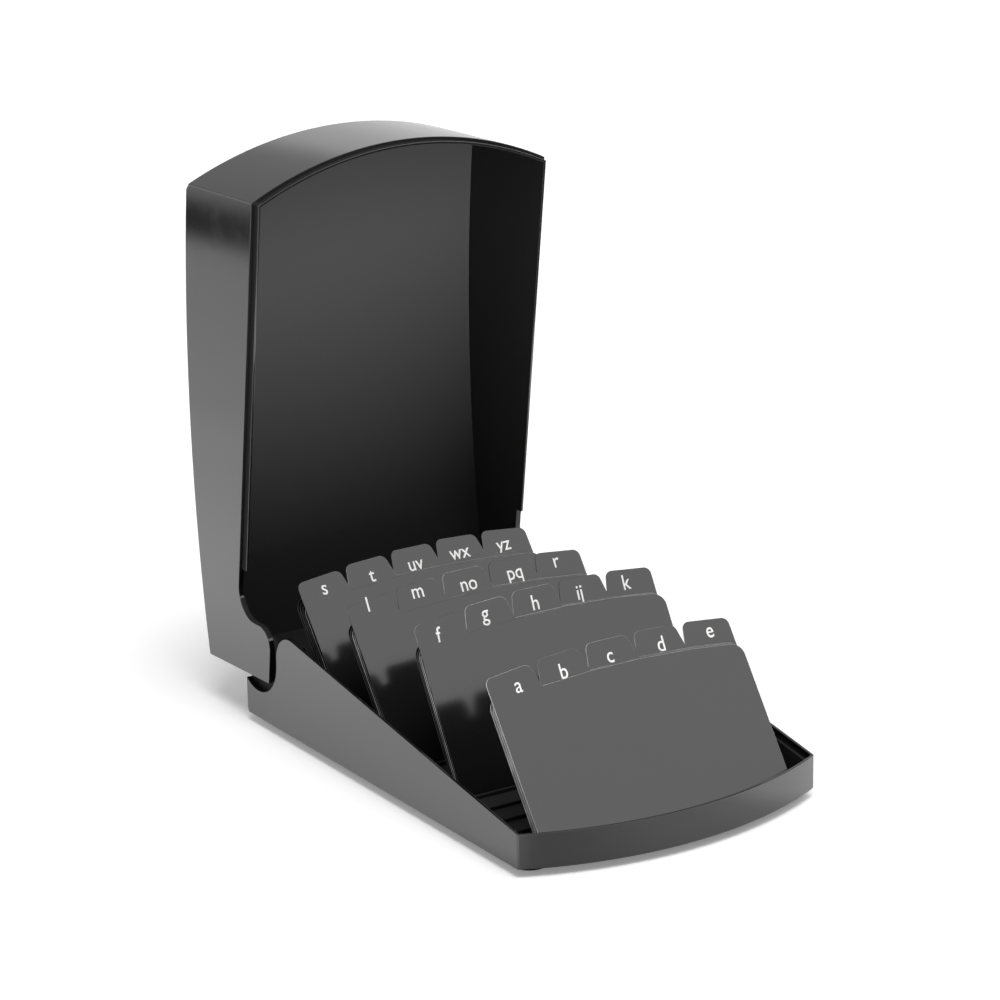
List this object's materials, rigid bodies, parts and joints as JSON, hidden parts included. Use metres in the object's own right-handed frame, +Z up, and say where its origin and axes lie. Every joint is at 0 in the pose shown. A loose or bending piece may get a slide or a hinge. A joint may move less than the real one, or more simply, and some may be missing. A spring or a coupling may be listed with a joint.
{
  "type": "covered card index box",
  "caption": "Open desk card index box: a wedge tray with leaning tabbed index dividers and a deep hinged cover.",
  "frame": {"origin": "middle of the footprint's bounding box on the table, with the cover open as pictured", "axes": "+Z up, the bowed front of the tray faces -Y, the cover's hinge is at +Y, +X is the right side seen from the front"},
  "size_m": [0.131, 0.2442, 0.2251],
  "materials": {
    "case": "moulded charcoal polystyrene with a fine satin grain",
    "pin": "moulded black acetal",
    "foot": "soft black rubber",
    "divider": "smooth grey-black polypropylene sheet, punched edges"
  },
  "bodies": {
    "base": {"tray": "case", "hinge_pin_left": "pin", "hinge_pin_right": "pin", "foot_front_left": "foot", "foot_front_right": "foot", "foot_rear_left": "foot", "foot_rear_right": "foot"},
    "cover": {"cover": "case"},
    "divider_a": {"divider_a": "divider"},
    "divider_b": {"divider_b": "divider"},
    "divider_c": {"divider_c": "divider"},
    "divider_d": {"divider_d": "divider"},
    "divider_e": {"divider_e": "divider"},
    "divider_f": {"divider_f": "divider"},
    "divider_g": {"divider_g": "divider"},
    "divider_h": {"divider_h": "divider"},
    "divider_ij": {"divider_ij": "divider"},
    "divider_k": {"divider_k": "divider"},
    "divider_l": {"divider_l": "divider"},
    "divider_m": {"divider_m": "divider"},
    "divider_no": {"divider_no": "divider"},
    "divider_pq": {"divider_pq": "divider"},
    "divider_r": {"divider_r": "divider"},
    "divider_s": {"divider_s": "divider"},
    "divider_t": {"divider_t": "divider"},
    "divider_uv": {"divider_uv": "divider"},
    "divider_wx": {"divider_wx": "divider"},
    "divider_yz": {"divider_yz": "divider"}
  },
  "joints": [
    {"name": "cover_hinge", "type": "hinge", "parent": "base", "child": "cover", "pos_m": [0, 0.07254, 0.0302], "axis": [-1, 0, 0], "range_deg": [-92, 0]},
    {"name": "flip_a", "type": "hinge", "parent": "base", "child": "divider_a", "pos_m": [0, -0.10526, 0.0055], "axis": [1, 0, 0], "range_deg": [0, 45]},
    {"name": "flip_b", "type": "hinge", "parent": "base", "child": "divider_b", "pos_m": [0, -0.10436, 0.0055], "axis": [1, 0, 0], "range_deg": [0, 43.65]},
    {"name": "flip_c", "type": "hinge", "parent": "base", "child": "divider_c", "pos_m": [0, -0.10346, 0.0055], "axis": [1, 0, 0], "range_deg": [0, 42.3]},
    {"name": "flip_d", "type": "hinge", "parent": "base", "child": "divider_d", "pos_m": [0, -0.10256, 0.0055], "axis": [1, 0, 0], "range_deg": [0, 40.95]},
    {"name": "flip_e", "type": "hinge", "parent": "base", "child": "divider_e", "pos_m": [0, -0.10166, 0.0055], "axis": [1, 0, 0], "range_deg": [0, 39.6]},
    {"name": "flip_f", "type": "hinge", "parent": "base", "child": "divider_f", "pos_m": [0, -0.04526, 0.0055], "axis": [1, 0, 0], "range_deg": [0, 36]},
    {"name": "flip_g", "type": "hinge", "parent": "base", "child": "divider_g", "pos_m": [0, -0.04406, 0.0055], "axis": [1, 0, 0], "range_deg": [0, 34.92]},
    {"name": "flip_h", "type": "hinge", "parent": "base", "child": "divider_h", "pos_m": [0, -0.04286, 0.0055], "axis": [1, 0, 0], "range_deg": [0, 33.84]},
    {"name": "flip_ij", "type": "hinge", "parent": "base", "child": "divider_ij", "pos_m": [0, -0.04166, 0.0055], "axis": [1, 0, 0], "range_deg": [0, 32.76]},
    {"name": "flip_k", "type": "hinge", "parent": "base", "child": "divider_k", "pos_m": [0, -0.04046, 0.0055], "axis": [1, 0, 0], "range_deg": [0, 31.68]},
    {"name": "flip_l", "type": "hinge", "parent": "base", "child": "divider_l", "pos_m": [0, -0.00926, 0.0055], "axis": [1, 0, 0], "range_deg": [0, 27]},
    {"name": "flip_m", "type": "hinge", "parent": "base", "child": "divider_m", "pos_m": [0, -0.00776, 0.0055], "axis": [1, 0, 0], "range_deg": [0, 26.19]},
    {"name": "flip_no", "type": "hinge", "parent": "base", "child": "divider_no", "pos_m": [0, -0.00626, 0.0055], "axis": [1, 0, 0], "range_deg": [0, 25.38]},
    {"name": "flip_pq", "type": "hinge", "parent": "base", "child": "divider_pq", "pos_m": [0, -0.00476, 0.0055], "axis": [1, 0, 0], "range_deg": [0, 24.57]},
    {"name": "flip_r", "type": "hinge", "parent": "base", "child": "divider_r", "pos_m": [0, -0.00326, 0.0055], "axis": [1, 0, 0], "range_deg": [0, 23.76]},
    {"name": "flip_s", "type": "hinge", "parent": "base", "child": "divider_s", "pos_m": [0, 0.02674, 0.0055], "axis": [1, 0, 0], "range_deg": [0, 19]},
    {"name": "flip_t", "type": "hinge", "parent": "base", "child": "divider_t", "pos_m": [0, 0.02864, 0.0055], "axis": [1, 0, 0], "range_deg": [0, 18.43]},
    {"name": "flip_uv", "type": "hinge", "parent": "base", "child": "divider_uv", "pos_m": [0, 0.03054, 0.0055], "axis": [1, 0, 0], "range_deg": [0, 17.86]},
    {"name": "flip_wx", "type": "hinge", "parent": "base", "child": "divider_wx", "pos_m": [0, 0.03244, 0.0055], "axis": [1, 0, 0], "range_deg": [0, 17.29]},
    {"name": "flip_yz", "type": "hinge", "parent": "base", "child": "divider_yz", "pos_m": [0, 0.03434, 0.0055], "axis": [1, 0, 0], "range_deg": [0, 16.72]}
  ],
  "couplings": [
    {"joint": "flip_b", "follows": "flip_a", "ratio": 0.97},
    {"joint": "flip_c", "follows": "flip_a", "ratio": 0.94},
    {"joint": "flip_d", "follows": "flip_a", "ratio": 0.91},
    {"joint": "flip_e", "follows": "flip_a", "ratio": 0.88},
    {"joint": "flip_g", "follows": "flip_f", "ratio": 0.97},
    {"joint": "flip_h", "follows": "flip_f", "ratio": 0.94},
    {"joint": "flip_ij", "follows": "flip_f", "ratio": 0.91},
    {"joint": "flip_k", "follows": "flip_f", "ratio": 0.88},
    {"joint": "flip_m", "follows": "flip_l", "ratio": 0.97},
    {"joint": "flip_no", "follows": "flip_l", "ratio": 0.94},
    {"joint": "flip_pq", "follows": "flip_l", "ratio": 0.91},
    {"joint": "flip_r", "follows": "flip_l", "ratio": 0.88},
    {"joint": "flip_t", "follows": "flip_s", "ratio": 0.97},
    {"joint": "flip_uv", "follows": "flip_s", "ratio": 0.94},
    {"joint": "flip_wx", "follows": "flip_s", "ratio": 0.91},
    {"joint": "flip_yz", "follows": "flip_s", "ratio": 0.88}
  ]
}
